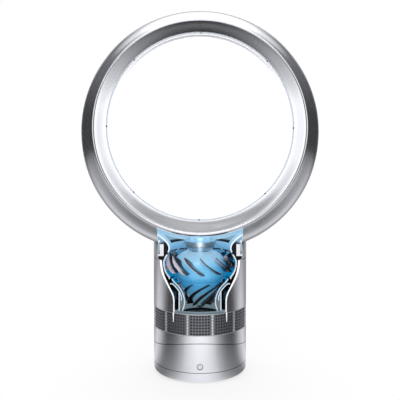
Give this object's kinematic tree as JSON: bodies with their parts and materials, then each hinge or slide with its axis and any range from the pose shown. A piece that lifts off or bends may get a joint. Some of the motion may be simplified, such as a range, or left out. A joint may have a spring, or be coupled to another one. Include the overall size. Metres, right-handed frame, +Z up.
{
  "type": "bladeless fan",
  "caption": "Bladeless desk fan with a round hollow loop on a cylindrical body, cut open in front to show the impeller, motor bucket and ducts.",
  "frame": {"origin": "on the ground under the middle of the foot", "axes": "+Z up, front of the fan with the power button and the window towards -Y, +X to the viewer's right"},
  "size_m": [0.3568, 0.14, 0.5394],
  "materials": {
    "silver_plastic": "satin metallic paint",
    "dark_grille": "dark perforated wall",
    "duct_white": "white moulding",
    "air_blue": "pale blue moulding",
    "cap_metal": "turned metal",
    "dark_plastic": "matt black",
    "rubber": "matt rubber",
    "steel": "bright steel",
    "copper_steel": "laminations and windings",
    "gear_plastic": "natural acetal",
    "bearing_bronze": "sintered bronze",
    "board_green": "circuit board",
    "foam_teal": "open-cell foam",
    "button_grey": "satin"
  },
  "bodies": {
    "foot": {"foot_shell": "silver_plastic", "foot_plate": "dark_plastic", "rubber_feet": "rubber", "foot_screws": "steel", "cord_gland": "dark_plastic", "turntable_spindle": "steel", "spindle_clip": "steel", "foot_gear": "gear_plastic", "glide_ring": "gear_plastic"},
    "base": {"turntable_plate": "dark_plastic", "turntable_bush": "bearing_bronze", "turntable_screws": "steel", "lower_shell": "silver_plastic", "tilt_cradle": "dark_plastic", "cradle_screws": "steel", "oscillation_motor": "steel", "control_board": "board_green", "board_screws": "steel", "button_bezel": "dark_plastic", "switch_board": "board_green", "button_spring": "steel"},
    "power_button": {"power_button": "button_grey"},
    "drive_pinion": {"drive_pinion": "gear_plastic"},
    "main_body": {"tilt_shoe": "dark_plastic", "tilt_runners": "gear_plastic", "runner_screws": "steel", "shoe_screws": "steel", "lower_casing": "silver_plastic", "inlet_grille": "dark_grille", "main_casing": "silver_plastic", "inlet_bellmouth": "duct_white", "impeller_housing": "duct_white", "diffuser_housing": "duct_white", "silencing_foam": "foam_teal", "motor_bucket": "air_blue", "motor_cap": "cap_metal", "motor_stator": "copper_steel", "lower_bearing": "steel", "upper_bearing": "steel", "lock_ring": "duct_white", "nozzle_neck": "silver_plastic", "nozzle_duct": "duct_white", "nozzle_seal": "rubber", "nozzle_outer_shell": "silver_plastic", "nozzle_inner_wall": "silver_plastic", "slot_spacers": "dark_plastic"},
    "rotor": {"impeller": "air_blue", "rotor_shaft": "steel", "rotor_magnet": "copper_steel", "impeller_nut": "steel"}
  },
  "joints": [
    {"name": "oscillation", "type": "hinge", "parent": "foot", "child": "base", "pos_m": [0, 0, 0.02], "axis": [0, 0, 1], "range_deg": [-35, 35]},
    {"name": "pinion_spin", "type": "hinge", "parent": "base", "child": "drive_pinion", "pos_m": [0, 0.02825, 0.0095], "axis": [0, 0, 1], "range_deg": [-130, 130]},
    {"name": "tilt", "type": "hinge", "parent": "base", "child": "main_body", "pos_m": [0, 0, 0.2282], "axis": [1, 0, 0], "range_deg": [-10, 10]},
    {"name": "button_press", "type": "slide", "parent": "base", "child": "power_button", "axis": [0, 1, 0], "range_m": [0, 0.0012], "stiffness_N_per_m": 400, "springref_m": -0.001},
    {"name": "impeller_spin", "type": "hinge", "parent": "main_body", "child": "rotor", "pos_m": [0, 0, 0.14], "axis": [0, 0, 1], "continuous": true}
  ],
  "couplings": [
    {"joint": "pinion_spin", "follows": "oscillation", "ratio": 3.6667}
  ]
}
